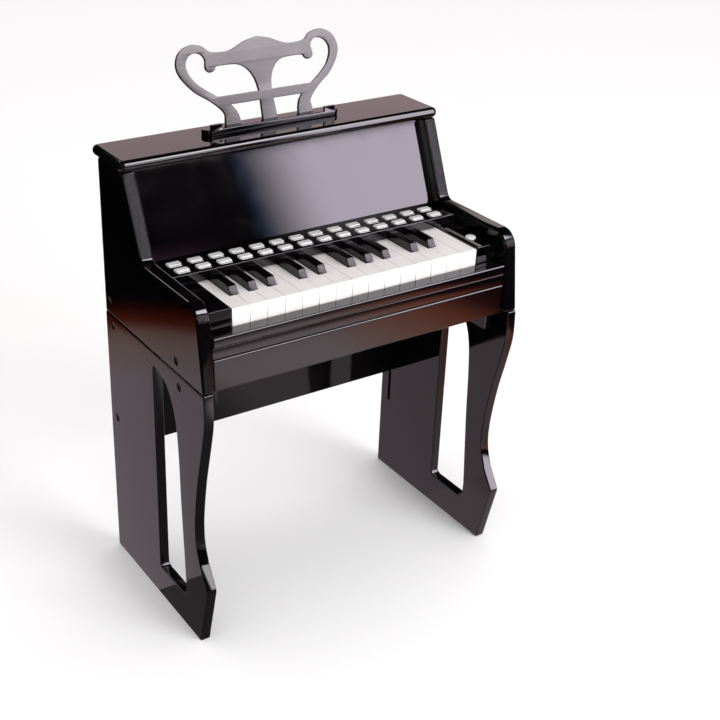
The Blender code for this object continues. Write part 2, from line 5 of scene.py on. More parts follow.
import bmesh
import bpy
from mathutils import Matrix, Vector

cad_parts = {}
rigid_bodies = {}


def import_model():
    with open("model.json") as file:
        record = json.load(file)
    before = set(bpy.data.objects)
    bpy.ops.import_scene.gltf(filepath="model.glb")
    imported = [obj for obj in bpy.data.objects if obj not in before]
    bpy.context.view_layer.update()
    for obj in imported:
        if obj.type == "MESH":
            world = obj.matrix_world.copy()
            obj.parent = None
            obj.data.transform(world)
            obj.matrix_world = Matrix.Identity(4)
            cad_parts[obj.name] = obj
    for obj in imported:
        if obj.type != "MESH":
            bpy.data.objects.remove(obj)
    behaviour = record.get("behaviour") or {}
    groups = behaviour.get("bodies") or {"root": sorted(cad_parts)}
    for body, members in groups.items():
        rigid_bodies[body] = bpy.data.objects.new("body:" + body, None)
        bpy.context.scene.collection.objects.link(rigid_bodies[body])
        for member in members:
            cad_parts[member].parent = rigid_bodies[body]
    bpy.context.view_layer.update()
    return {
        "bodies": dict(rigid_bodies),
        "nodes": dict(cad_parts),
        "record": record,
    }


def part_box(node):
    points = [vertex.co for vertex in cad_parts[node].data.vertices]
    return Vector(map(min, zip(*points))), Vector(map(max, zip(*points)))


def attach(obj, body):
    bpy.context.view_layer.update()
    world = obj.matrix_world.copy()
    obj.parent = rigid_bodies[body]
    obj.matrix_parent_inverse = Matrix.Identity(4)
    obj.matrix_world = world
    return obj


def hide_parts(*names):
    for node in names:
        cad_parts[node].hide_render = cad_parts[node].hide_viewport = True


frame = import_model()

NODES = frame["nodes"]
ROOT = "cabinet"

# ---------------------------------------------------------------- places, read from the frame
PANEL_LOW, PANEL_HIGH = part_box("left_side_panel")
LEG_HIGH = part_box("left_leg")[1]
BED_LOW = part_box("key_bed")[0]
APRON_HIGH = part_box("apron_rail")[1]
BLOCK_LOW, BLOCK_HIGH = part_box("right_key_block")
CONTROL_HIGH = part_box("control_panel")[1]
BACK_LOW, BACK_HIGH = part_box("back_panel")
DOOR_LOW, DOOR_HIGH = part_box("battery_door")
SPEAKER_LOW, SPEAKER_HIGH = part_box("speaker")
STRETCHER_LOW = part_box("rear_stretcher")[0]
BOARD_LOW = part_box("circuit_board")[0]

OUTER = abs(PANEL_LOW.x)           # from the middle to the outside of a side panel
PANEL_INNER = abs(PANEL_HIGH.x)    # and to its inside


# ---------------------------------------------------------------- camera
def camera():
    """Camera of the reference view, to the left of the object and above it, with plain colours."""
    data = bpy.data.cameras.new("camera")
    data.lens = 63.8
    data.shift_x = 0.0944
    data.shift_y = -0.0021
    obj = bpy.data.objects.new("camera", data)
    bpy.context.scene.collection.objects.link(obj)
    turn = Matrix.Rotation(radians(-32.129), 4, "Z")
    tilt = Matrix.Rotation(radians(-27.582), 4, "X")
    roll = Matrix.Rotation(radians(-0.975), 4, "Y")
    level = Matrix.Rotation(radians(90), 4, "X")
    obj.matrix_world = Matrix.Translation((-0.7290, -1.1259, 0.9611)) @ turn @ tilt @ roll @ level
    bpy.context.scene.camera = obj
    bpy.context.scene.view_settings.view_transform = "Standard"


camera()


# ---------------------------------------------------------------- node helpers
class Surface:
    """A Principled material and short ways to add nodes to it."""

    def __init__(self, name, metallic=0.0):
        self.material = bpy.data.materials.new(name)
        self.material.use_nodes = True
        self.tree = self.material.node_tree
        self.shader = self.tree.nodes["Principled BSDF"]
        self.shader.inputs["Metallic"].default_value = metallic

    def add(self, kind, **settings):
        node = self.tree.nodes.new("ShaderNode" + kind)
        for key, value in settings.items():
            setattr(node, key, value)
        return node

    def link(self, start, end):
        self.tree.links.new(start, end)

    def place(self, scale=(1.0, 1.0, 1.0)):
        """Object coordinates in metres, stretched by scale."""
        coordinates = self.add("TexCoord")
        mapping = self.add("Mapping")
        mapping.inputs["Scale"].default_value = scale
        self.link(coordinates.outputs["Object"], mapping.inputs["Vector"])
        return mapping.outputs["Vector"]

    def world_xyz(self):
        """World coordinates of the shaded point, as three outputs."""
        split = self.add("SeparateXYZ")
        self.link(self.add("NewGeometry").outputs["Position"], split.inputs["Vector"])
        return split.outputs

    def distance_from(self, point):
        """Distance of the shaded point from a world point."""
        node = self.add("VectorMath", operation="DISTANCE")
        node.inputs[1].default_value = point
        self.link(self.add("NewGeometry").outputs["Position"], node.inputs[0])
        return node.outputs["Value"]

    def noise(self, scale, detail=3.0, roughness=0.5, vector=None):
        node = self.add("TexNoise")
        node.inputs["Scale"].default_value = scale
        node.inputs["Detail"].default_value = detail
        node.inputs["Roughness"].default_value = roughness
        self.link(vector or self.place(), node.inputs["Vector"])
        return node.outputs["Fac"]

    def ramp(self, factor, *stops):
        """Colour ramp through (position, colour) stops."""
        node = self.add("ValToRGB")
        elements = node.color_ramp.elements
        while len(elements) < len(stops):
            elements.new(0.5)
        for element, (position, colour) in zip(elements, stops):
            element.position = position
            element.color = (*colour, 1.0)
        self.link(factor, node.inputs["Fac"])
        return node.outputs["Color"]

    def span(self, factor, low, high, start=0.0, end=1.0, smooth=False):
        """Map Range of a value from start..end to low..high."""
        node = self.add("MapRange")
        node.interpolation_type = "SMOOTHSTEP" if smooth else "LINEAR"
        for socket, value in (("From Min", start), ("From Max", end), ("To Min", low),
                              ("To Max", high)):
            node.inputs[socket].default_value = value
        self.link(factor, node.inputs["Value"])
        return node.outputs["Result"]

    def maths(self, operation, a, b=None):
        node = self.add("Math", operation=operation)
        for socket, value in zip(node.inputs, (a, b)):
            if isinstance(value, (int, float)):
                socket.default_value = value
            elif value is not None:
                self.link(value, socket)
        return node.outputs["Value"]

    def facing(self, direction):
        """1 where the surface's own normal points along direction, 0 elsewhere."""
        coordinates = self.add("TexCoord")
        dot = self.add("VectorMath", operation="DOT_PRODUCT")
        dot.inputs[1].default_value = Vector(direction).normalized()
        self.link(coordinates.outputs["Normal"], dot.inputs[0])
        return self.span(dot.outputs["Value"], 0.0, 1.0, 0.97, 0.99, smooth=True)

    def colour(self, output):
        self.link(output, self.shader.inputs["Base Color"])

    def glow_with(self, tint, strength):
        """Replace the shader by an emission; tint and strength are colours, numbers or outputs."""
        self.tree.nodes.remove(self.shader)
        emission = self.add("Emission")
        for socket, value in (("Color", tint), ("Strength", strength)):
            if isinstance(value, bpy.types.NodeSocket):
                self.link(value, emission.inputs[socket])
            else:
                emission.inputs[socket].default_value = value
        output = self.tree.nodes["Material Output"]
        self.link(emission.outputs["Emission"], output.inputs["Surface"])

    def rough(self, output):
        self.link(output, self.shader.inputs["Roughness"])

    def bump(self, height, strength, distance):
        node = self.add("Bump")
        node.inputs["Strength"].default_value = strength
        node.inputs["Distance"].default_value = distance
        self.link(height, node.inputs["Height"])
        self.link(node.outputs["Normal"], self.shader.inputs["Normal"])


# ---------------------------------------------------------------- materials
BLACKS = ((0.35, (0.0010, 0.0008, 0.0010)), (0.65, (0.0022, 0.0017, 0.0022)))


def lacquer(name="lacquer", satin=None):
    """Sprayed gloss black: faint orange peel, polish that varies, and rougher where told.

    satin is the direction of the rougher faces, their extra roughness and the depth of their grain.
    """
    s = Surface(name)
    s.colour(s.ramp(s.noise(14.0), *BLACKS))
    polish = s.span(s.noise(45.0, 4.0), 0.03, 0.065, 0.35, 0.65)
    peel = s.maths("MULTIPLY", s.noise(900.0, 2.0), 0.015)
    if satin:
        direction, roughness, depth = satin
        mask = s.facing(direction)
        grain = s.maths("MULTIPLY", s.noise(330.0, 4.0, 0.7), depth)
        s.rough(s.maths("ADD", polish, s.maths("MULTIPLY", mask, roughness)))
        s.bump(s.maths("ADD", peel, s.maths("MULTIPLY", mask, grain)), 1.0, 0.0004)
    else:
        s.rough(polish)
        s.bump(peel, 1.0, 0.0004)
    return s.material


def plastic(name, low, high, rough=(0.2, 0.3), grain=1400.0, depth=0.05, scale=30.0):
    """Moulded plastic: colour that drifts a little, fine texture from the mould."""
    s = Surface(name)
    s.colour(s.ramp(s.noise(scale), (0.3, low), (0.7, high)))
    s.rough(s.span(s.noise(scale * 4), *rough, 0.35, 0.65))
    s.bump(s.noise(grain, 2.0), depth, 0.0002)
    return s.material


def metal(name, low, high, rough=(0.22, 0.38), scale=400.0):
    """Plated metal with fine scratches."""
    s = Surface(name, metallic=1.0)
    s.colour(s.ramp(s.noise(scale / 4), (0.3, low), (0.7, high)))
    streaks = s.noise(scale, 4.0, 0.6, s.place(scale=(1.0, 6.0, 1.0)))
    s.rough(s.span(streaks, *rough, 0.3, 0.7))
    s.bump(streaks, 0.08, 0.0001)
    return s.material


def fibre(name, low, high, scale=700.0):
    """Matt fibrous surface: hardboard, felt, paper."""
    s = Surface(name)
    fibres = s.noise(scale, 5.0, 0.7)
    s.colour(s.ramp(fibres, (0.3, low), (0.7, high)))
    s.rough(s.span(fibres, 0.7, 0.95))
    s.bump(fibres, 0.5, 0.0004)
    return s.material


SLOPED_EDGE = (0.0, -0.918, 0.396)
REST_FACE = (0.0, -0.932, 0.363)
BLACK_KEY_FRONT = (0.0, -0.874, 0.486)

LACQUER = lacquer()
PANEL_LACQUER = lacquer("panel_lacquer", satin=(SLOPED_EDGE, 0.16, 5.0))
REST_LACQUER = lacquer("rest_lacquer", satin=(REST_FACE, 0.20, 0.10))
KEY_WHITE = plastic("white_key_plastic", (0.74, 0.695, 0.69), (0.79, 0.755, 0.75), (0.30, 0.38),
                    1400.0, 0.01)
KEY_BLACK = lacquer("black_key_plastic", satin=(BLACK_KEY_FRONT, 0.26, 1.5))
BUTTON_GREY = plastic("button_plastic", (0.52, 0.505, 0.50), (0.68, 0.66, 0.65), (0.28, 0.42),
                      900.0, 0.25, 420.0)
SILVER = plastic("silver_plastic", (0.62, 0.61, 0.62), (0.78, 0.77, 0.78), (0.25, 0.35), 2000.0, 0.1,
                 120.0)
DARK_PLASTIC = plastic("dark_plastic", (0.014, 0.014, 0.016), (0.028, 0.027, 0.030), (0.45, 0.6),
                       1200.0, 0.4)
BOARD_GREEN = plastic("circuit_board", (0.008, 0.10, 0.035), (0.015, 0.17, 0.06), (0.35, 0.5))
BACK_BOARD = fibre("back_board", (0.010, 0.009, 0.009), (0.030, 0.027, 0.026))
STEEL = metal("speaker_steel", (0.42, 0.42, 0.43), (0.58, 0.58, 0.60))
ZINC = metal("zinc_plate", (0.62, 0.63, 0.66), (0.80, 0.81, 0.84), (0.16, 0.30), 900.0)
DARK_STEEL = metal("dark_steel", (0.22, 0.21, 0.22), (0.42, 0.41, 0.42), (0.30, 0.5), 900.0)
DUST_FELT = fibre("dust_cap_felt", (0.010, 0.010, 0.011), (0.030, 0.029, 0.030), 1500.0)
RUBBER = plastic("surround_rubber", (0.010, 0.010, 0.010), (0.020, 0.020, 0.020), (0.5, 0.65))
CELL_WRAP = plastic("cell_wrap", (0.05, 0.11, 0.16), (0.07, 0.14, 0.20), (0.25, 0.35))
PAPER = fibre("speaker_paper", (0.012, 0.012, 0.012), (0.035, 0.034, 0.033), 900.0)
INLAY = plastic("inlay_strip", (0.13, 0.115, 0.115), (0.19, 0.17, 0.17), (0.30, 0.42))
# Near-white dashes on the control panel: printed captions, and in part a painted reflection of the button
# caps in the gloss panel.
CAPTION_AND_REFLECTION = plastic("caption_ink", (0.84, 0.84, 0.85), (0.92, 0.92, 0.93), (0.5, 0.6))

SLOT_MATERIALS = {
    "lacquer": LACQUER, "white_key_plastic": KEY_WHITE, "black_key_plastic": KEY_BLACK,
    "button_plastic": BUTTON_GREY, "silver_plastic": SILVER, "dark_plastic": DARK_PLASTIC,
    "circuit_board": BOARD_GREEN, "speaker_steel": STEEL, "back_board": BACK_BOARD,
}


def dress_cad_nodes():
    """Give every CAD node the material of its slot in the record."""
    for part in frame["record"]["subparts"]:
        NODES[part["node"]].data.materials.clear()
        NODES[part["node"]].data.materials.append(SLOT_MATERIALS[part["material_slot"]])
    for node in ("left_side_panel", "right_side_panel"):
        NODES[node].data.materials[0] = PANEL_LACQUER
    NODES["music_rest"].data.materials[0] = REST_LACQUER


def smoothing_group():
    """Geometry nodes that join split corners and shade across everything but sharp edges."""
    group = bpy.data.node_groups.new("smooth_bevels", "GeometryNodeTree")
    for direction in ("INPUT", "OUTPUT"):
        group.interface.new_socket("Geometry", in_out=direction, socket_type="NodeSocketGeometry")
    start = group.nodes.new("NodeGroupInput")
    merge = group.nodes.new("GeometryNodeMergeByDistance")
    merge.inputs["Distance"].default_value = 0.000002
    forget = group.nodes.new("GeometryNodeRemoveAttribute")
    forget.inputs["Name"].default_value = "custom_normal"
    soft = group.nodes.new("GeometryNodeSetShadeSmooth")
    crease = group.nodes.new("GeometryNodeSetShadeSmooth")
    crease.domain = "EDGE"
    crease.inputs["Shade Smooth"].default_value = False
    angle = group.nodes.new("GeometryNodeInputMeshEdgeAngle")
    sharp = group.nodes.new("FunctionNodeCompare")
    sharp.operation = "GREATER_THAN"
    sharp.inputs["B"].default_value = radians(50)
    group.links.new(angle.outputs["Unsigned Angle"], sharp.inputs["A"])
    group.links.new(sharp.outputs["Result"], crease.inputs["Selection"])
    end = group.nodes.new("NodeGroupOutput")
    chain = (start, merge, forget, soft, crease, end)
    for one, following in zip(chain, chain[1:]):
        group.links.new(one.outputs["Geometry"], following.inputs["Geometry"])
    return group


def smooth_cad_nodes():
    """Let bevels and curves of the CAD nodes shade as rounded surfaces beside flat faces."""
    group = smoothing_group()
    for obj in NODES.values():
        obj.modifiers.new("smooth_bevels", "NODES").node_group = group
        obj.modifiers.new("flat_faces", "WEIGHTED_NORMAL").keep_sharp = True


dress_cad_nodes()
smooth_cad_nodes()


# ---------------------------------------------------------------- mesh helpers
def piece(name, mesh, material, body=ROOT, smooth=True):
    """Object for a finished mesh, riding on a body."""
    obj = bpy.data.objects.new(name, mesh)
    bpy.context.scene.collection.objects.link(obj)
    mesh.materials.append(material)
    if smooth:
        mesh.shade_smooth()
        mesh.set_sharp_from_angle(angle=radians(35))
    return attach(obj, body)


def to_mesh(bm, name):
    mesh = bpy.data.meshes.new(name)
    bmesh.ops.recalc_face_normals(bm, faces=bm.faces)
    bm.to_mesh(mesh)
    bm.free()
    return mesh


def add_block(bm, low, high, edge=0.0):
    """Box between two corners, its edges rounded, added to a bmesh."""
    low = Vector(low)
    high = Vector(high)
    verts = bmesh.ops.create_cube(bm, size=1.0)["verts"]
    for vert in verts:
        vert.co = Vector((low[i] + (high[i] - low[i]) * (vert.co[i] + 0.5)) for i in range(3))
    if edge:
        edges = list({e for v in verts for e in v.link_edges})
        bmesh.ops.bevel(bm, geom=edges, offset=edge, segments=2, affect="EDGES", profile=0.5)


def add_lathe(bm, profile, matrix, steps=32):
    """Solid of revolution about the matrix's z axis, from (radius, height) points."""
    rings = []
    for radius, height in profile:
        if radius < 1e-6:
            rings.append([bm.verts.new(matrix @ Vector((0.0, 0.0, height)))])
            continue
        rings.append([bm.verts.new(matrix @ Vector((radius * cos(2 * pi * k / steps),
                                                    radius * sin(2 * pi * k / steps), height)))
                      for k in range(steps)])
    for low, high in zip(rings, rings[1:]):
        for k in range(steps):
            j = (k + 1) % steps
            corners = [low[k % len(low)], low[j % len(low)], high[j % len(high)],
                       high[k % len(high)]]
            unique = list(dict.fromkeys(corners))
            if len(unique) > 2:
                bm.faces.new(unique)


def along(direction, point):
    """Matrix that carries +Z to a direction, at a point."""
    return Matrix.Translation(point) @ Vector(direction).to_track_quat("Z", "Y").to_matrix().to_4x4()


# ---------------------------------------------------------------- bolts and cleats
NUT_R = 0.0050
NUT_SINK = 0.0011            # the nuts' faces lie this far below the boards' outside
NUT_SPOTS = {                # y and z of each nut, measured from the boards that it joins
    "panel_rear": (PANEL_HIGH.y - 0.0121, PANEL_LOW.z + 0.0173),
    "panel_front": (BED_LOW.y + 0.0498, PANEL_LOW.z + 0.0143),
    "leg_front": (BED_LOW.y + 0.0449, LEG_HIGH.z - 0.0145),
    "leg_rear": (STRETCHER_LOW.y + 0.0040, LEG_HIGH.z - 0.0118),
    "leg_low": (STRETCHER_LOW.y + 0.0049, STRETCHER_LOW.z + 0.0409),
}
CAP_SPOTS = ("panel_rear", "panel_front", "leg_front")
CAP_DROP = 0.0040            # cap heads lie this far below their nuts
CLEAT_T = 0.0118
CLEAT_GAP = 0.0002
CLEAT_DROP = 0.0270          # reach of a cleat below the seam of panel and leg
CLEAT_OUTER = PANEL_INNER - CLEAT_GAP
CLEAT_INNER = CLEAT_OUTER - CLEAT_T
NUT_FACE = [(NUT_R, -0.0018), (NUT_R, -0.0004), (NUT_R - 0.0003, 0.0), (NUT_R - 0.0012, 0.0),
            (NUT_R - 0.0015, -0.0003), (0.0026, -0.0003), (0.0023, -0.0001), (0.0021, -0.0004),
            (0.0018, -0.0016), (0.0, -0.0016)]
CAP_HEAD = [(0.0042, 0.0), (0.0042, 0.0018), (0.0039, 0.0026), (0.0034, 0.0030), (0.0020, 0.0030),
            (0.0018, 0.0028), (0.0018, 0.0008), (0.0, 0.0008)]


def lathed(name, profile, place, material, body=ROOT, steps=28):
    """Piece made by turning a profile about the z axis of a placed matrix."""
    bm = bmesh.new()
    add_lathe(bm, profile, place, steps)
    bmesh.ops.remove_doubles(bm, verts=bm.verts, dist=0.000001)
    return piece(name, to_mesh(bm, name), material, body)


def bolts():
    """Barrel nuts sunk in the outside of panels and legs, and cap bolts on the cleats inside."""
    for side_name, side in (("left", -1), ("right", 1)):
        for name, (y, z) in NUT_SPOTS.items():
            place = along((side, 0, 0), (side * (OUTER - NUT_SINK), y, z))
            lathed("%s_%s_nut" % (side_name, name), NUT_FACE, place, DARK_STEEL)
        for name in CAP_SPOTS:
            y, z = NUT_SPOTS[name]
            place = along((-side, 0, 0), (side * CLEAT_INNER, y, z - CAP_DROP))
            lathed("%s_%s_cap" % (side_name, name), CAP_HEAD, place, ZINC)


def cleats():
    """Battens inside that tie each leg board to its side panel."""
    for side_name, side in (("left", -1), ("right", 1)):
        xs = sorted((side * CLEAT_INNER, side * CLEAT_OUTER))
        bm = bmesh.new()
        add_block(bm, (xs[0], APRON_HIGH.y + 0.0015, LEG_HIGH.z - CLEAT_DROP),
                  (xs[1], BACK_LOW.y - 0.004, BED_LOW.z - 0.0005), 0.0008)
        piece(side_name + "_cleat", to_mesh(bm, "cleat"), LACQUER)


cleats()
bolts()


# ---------------------------------------------------------------- top details
INLAY_W = 0.0044
INLAY_SET_IN = 0.0040        # from the key block's left edge


def inlay():
    """Satin strip let into the right key block beside the last key."""
    bm = bmesh.new()
    left = BLOCK_LOW.x + INLAY_SET_IN
    top = BLOCK_HIGH.z
    add_block(bm, (left, BLOCK_LOW.y + 0.0015, top - 0.0002),
              (left + INLAY_W, BLOCK_HIGH.y - 0.0090, top + 0.0003), 0.00012)
    piece("inlay_strip", to_mesh(bm, "inlay_strip"), INLAY)


# Dashes of a caption, as shares of its length, and where the captions of each cap row lie:
# the row's front behind the moulding's, and the caption's left end from the moulding's.
CAPTION_MARKS = ((0.00, 0.16), (0.20, 0.30), (0.34, 0.52), (0.57, 0.66), (0.70, 0.88), (0.92, 1.00))
CAPTION_ROWS = ((0.00075, 0.0018), (0.01895, 0.0014))
CAPTION_NEAR = 0.0031        # front and rear edge of a dash, in front of the caps
CAPTION_FAR = 0.0014
CAPTION_INK = 0.00010        # height of the print above the panel


def captions_and_reflections():
    """Rows of plain dashes on the panel in front of each push button's caps: printed captions, and in
    part a painted reflection of the caps in the gloss panel.
    """
    for name in frame["bodies"]:
        if not name.startswith("buttons_"):
            continue
        low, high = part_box(name)
        length = high.x - low.x - 0.0030
        bm = bmesh.new()
        for row_front, shift in CAPTION_ROWS:
            left = low.x + shift
            front = low.y + row_front
            for start, end in CAPTION_MARKS:
                add_block(bm, (left + start * length, front - CAPTION_NEAR, CONTROL_HIGH.z - 0.00002),
                          (left + end * length, front - CAPTION_FAR, CONTROL_HIGH.z + CAPTION_INK))
        piece("caption_" + name[-2:], to_mesh(bm, "caption"), CAPTION_AND_REFLECTION, smooth=False)


inlay()
captions_and_reflections()


# ---------------------------------------------------------------- back and inside
SCREW_HEAD = [(0.0030, 0.0), (0.0030, 0.0003), (0.0026, 0.0008), (0.0016, 0.0011), (0.0009, 0.0011),
              (0.0006, 0.0004), (0.0, 0.0004)]
SCREW_XS = (-0.172, -0.058, 0.058, 0.172)
SCREW_INSET = 0.0080         # from the back board's upper and lower edge
DOOR_SCREW_SEAT = 0.0033     # from the door's inside
CELL_R = 0.0071
CELL_LENGTH = 0.0502
CELL_PITCH = 0.0144
TRAY_WALL = 0.0012
TRAY_DEPTH = 0.0175
CELL_DEPTH = 0.0085          # the cells' axes, in front of the tray's open side
SPRING_WIRE = 0.0004
SPRING_TURNS = 4
CHIP_XS = (-0.118, -0.020, 0.084)
CAPACITOR_COUNT = 14
CAPACITOR_LEFT = -0.1560     # of the first one
CAPACITOR_PITCH = 0.0235


def back_screws():
    """Pan-head screws round the back board and in the battery door."""
    for k, x in enumerate(SCREW_XS):
        for level, z in (("low", BACK_LOW.z + SCREW_INSET), ("high", BACK_HIGH.z - SCREW_INSET)):
            lathed("back_screw_%s_%d" % (level, k + 1), SCREW_HEAD,
                   along((0, 1, 0), (x, BACK_HIGH.y, z)), ZINC, steps=20)
    middle = (DOOR_LOW.x + DOOR_HIGH.x) / 2
    lathed("battery_door_screw", SCREW_HEAD,
           along((0, 1, 0), (middle, DOOR_LOW.y + DOOR_SCREW_SEAT, DOOR_LOW.z + 0.0065)), ZINC,
           "battery_door", 20)


def add_spring(bm, place, wide, narrow, length):
    """Conical coil spring of round wire about the matrix's z axis."""
    rings = []
    steps = SPRING_TURNS * 12
    for k in range(steps + 1):
        share = k / steps
        turn = 2 * pi * SPRING_TURNS * share
        radius = wide + (narrow - wide) * share
        ring = []
        for j in range(6):
            across = radius + SPRING_WIRE * cos(pi * j / 3)
            height = length * share + SPRING_WIRE * sin(pi * j / 3)
            ring.append(bm.verts.new(place @ Vector((across * cos(turn), across * sin(turn), height))))
        rings.append(ring)
    for low, high in zip(rings, rings[1:]):
        for j in range(6):
            bm.faces.new((low[j], low[(j + 1) % 6], high[(j + 1) % 6], high[j]))
    bm.faces.new(rings[0])
    bm.faces.new(rings[-1])


def battery_tray():
    """Open moulded tray behind the battery door with four AA cells, each held by a spring."""
    left = DOOR_LOW.x + 0.0030
    right = DOOR_HIGH.x - 0.0030
    bottom = DOOR_LOW.z + 0.0020
    top = DOOR_HIGH.z - 0.0020
    rear = BACK_LOW.y - 0.0005
    floor_y = rear - TRAY_DEPTH
    wall = TRAY_WALL
    bm = bmesh.new()
    add_block(bm, (left, floor_y, bottom), (right, floor_y + wall, top), 0.0003)
    for z in (bottom, top - wall):
        add_block(bm, (left, floor_y + wall, z), (right, rear, z + wall), 0.0003)
    for x in (left, right - wall):
        add_block(bm, (x, floor_y + wall, bottom + wall), (x + wall, rear, top - wall), 0.0003)
    piece("battery_tray", to_mesh(bm, "battery_tray"), DARK_PLASTIC)
    wrap = [(0.0, 0.0), (0.0050, 0.0), (0.0050, 0.0002), (CELL_R - 0.0006, 0.0002), (CELL_R, 0.0008),
            (CELL_R, CELL_LENGTH - 0.0022), (CELL_R - 0.0006, CELL_LENGTH - 0.0016),
            (0.0040, CELL_LENGTH - 0.0016), (0.0, CELL_LENGTH - 0.0016)]
    nub = [(0.0, CELL_LENGTH - 0.0016), (0.0027, CELL_LENGTH - 0.0016),
           (0.0027, CELL_LENGTH - 0.0003), (0.0024, CELL_LENGTH), (0.0, CELL_LENGTH)]
    middle = (bottom + top) / 2
    springs = bmesh.new()
    for k in range(4):
        side = 1 if k % 2 else -1
        end_x = (left + right) / 2 - side * ((right - left) / 2 - wall)
        z = middle + (k - 1.5) * CELL_PITCH
        spring_length = right - left - 2 * wall - CELL_LENGTH - 0.0008
        place = along((side, 0, 0), (end_x + side * spring_length, rear - CELL_DEPTH, z))
        lathed("cell_%d" % (k + 1), wrap, place, CELL_WRAP)
        lathed("cell_%d_nub" % (k + 1), nub, place, ZINC, steps=20)
        add_spring(springs, along((side, 0, 0), (end_x + side * 0.0005, rear - CELL_DEPTH, z)),
                   0.0048, 0.0024, spring_length - 0.0011)
    piece("cell_springs", to_mesh(springs, "cell_springs"), ZINC)


def loudspeaker():
    """Basket, magnet, surround, paper cone and dust cap in place of the plain solid."""
    centre = ((SPEAKER_LOW.x + SPEAKER_HIGH.x) / 2, SPEAKER_HIGH.y, (SPEAKER_LOW.z + SPEAKER_HIGH.z) / 2)
    place = along((0, 1, 0), centre)
    rim = (SPEAKER_HIGH.x - SPEAKER_LOW.x) / 2
    basket = [(rim, 0.0), (rim, -0.0022), (0.0285, -0.0028), (0.0205, -0.0128), (0.0175, -0.0132),
              (0.0, -0.0132), (0.0, -0.0124), (0.0170, -0.0124), (0.0198, -0.0118), (0.0276, -0.0020),
              (0.0305, -0.0014), (0.0305, 0.0)]
    frame_piece = lathed("speaker_basket", basket + basket[:1], place, STEEL, steps=48)
    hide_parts("speaker")
    magnet = [(0.0, -0.0134), (0.0160, -0.0134), (0.0172, -0.0140), (0.0172, -0.0232),
              (0.0164, -0.0240), (0.0, -0.0240)]
    lathed("speaker_magnet", magnet, place, DARK_STEEL, steps=40)
    roll = [(0.0303, -0.0013), (0.0294, -0.0005), (0.0281, -0.0002), (0.0268, -0.0005),
            (0.0258, -0.0014), (0.0258, -0.0018), (0.0303, -0.0017)]
    lathed("speaker_surround", roll + roll[:1], place, RUBBER, steps=48)
    cone = [(0.0262, -0.0018), (0.0258, -0.0016), (0.0096, -0.0088), (0.0090, -0.0094),
            (0.0250, -0.0022)]
    lathed("speaker_cone", cone + cone[:1], place, PAPER, steps=48)
    cap = [(0.0, -0.0050), (0.0032, -0.0053), (0.0062, -0.0062), (0.0085, -0.0076),
           (0.0097, -0.0086), (0.0090, -0.0093), (0.0, -0.0093)]
    lathed("speaker_dust_cap", cap, place, DUST_FELT, steps=36)


def board_parts():
    """Flat chips and small capacitors under the circuit board, over the keys' rear ends."""
    under = BOARD_LOW.z
    chips = bmesh.new()
    for x in CHIP_XS:
        add_block(chips, (x, 0.0020, under - 0.0009), (x + 0.0150, 0.0096, under), 0.0002)
    piece("board_chips", to_mesh(chips, "board_chips"), DARK_PLASTIC)
    capacitors = bmesh.new()
    for k in range(CAPACITOR_COUNT):
        x = CAPACITOR_LEFT + CAPACITOR_PITCH * k
        add_block(capacitors, (x, 0.0140, under - 0.0006), (x + 0.0022, 0.0153, under), 0.0001)
    piece("board_capacitors", to_mesh(capacitors, "board_capacitors"), ZINC)


back_screws()
battery_tray()
loudspeaker()
board_parts()


# ---------------------------------------------------------------- studio
def card(name, centre, width, height, target, material, **visibility):
    """Flat stage card facing a target point."""
    bm = bmesh.new()
    bmesh.ops.create_grid(bm, x_segments=1, y_segments=1, size=0.5)
    mesh = to_mesh(bm, name)
    obj = bpy.data.objects.new(name, mesh)
    bpy.context.scene.collection.objects.link(obj)
    mesh.materials.append(material)
    facing = (Vector(target) - Vector(centre)).to_track_quat("Z", "Y").to_matrix().to_4x4()
    obj.matrix_world = (Matrix.Translation(centre) @ facing
                        @ Matrix.Diagonal((width, height, 1.0, 1.0)))
    for ray in ("camera", "diffuse", "glossy", "shadow"):
        setattr(obj, "visible_" + ray, visibility.get(ray, True))


def glow(name, colour, strength, fade, rim=None):
    """Emission that fades to nothing near the chosen sides of a card.

    fade gives the soft share of the card's left, right, bottom and top sides, seen from the object;
    rim is the colour of the faintest part of the fade.
    """
    s = Surface(name)
    split = s.add("SeparateXYZ")
    s.link(s.add("TexCoord").outputs["Object"], split.inputs["Vector"])
    level = None
    for axis, sides in (("X", fade[:2]), ("Y", fade[2:])):
        for sign, share in zip((1.0, -1.0), sides):
            signed = s.maths("MULTIPLY", split.outputs[axis], sign)
            edge = s.span(signed, 0.0, 1.0, -0.5, -0.5 + share, smooth=True)
            level = edge if level is None else s.maths("MULTIPLY", level, edge)
    tint = s.ramp(level, (0.02, rim), (0.22, colour)) if rim else (*colour, 1.0)
    s.glow_with(tint, s.maths("MULTIPLY", level, strength))
    return s.material


GLOSSY_ONLY = {"camera": False, "diffuse": False, "shadow": False}
MIDDLE = (0.0, 0.0, 0.45)    # of the object: the target of the slanted cards
STRAIGHT = None              # marks a card that faces straight along the depth

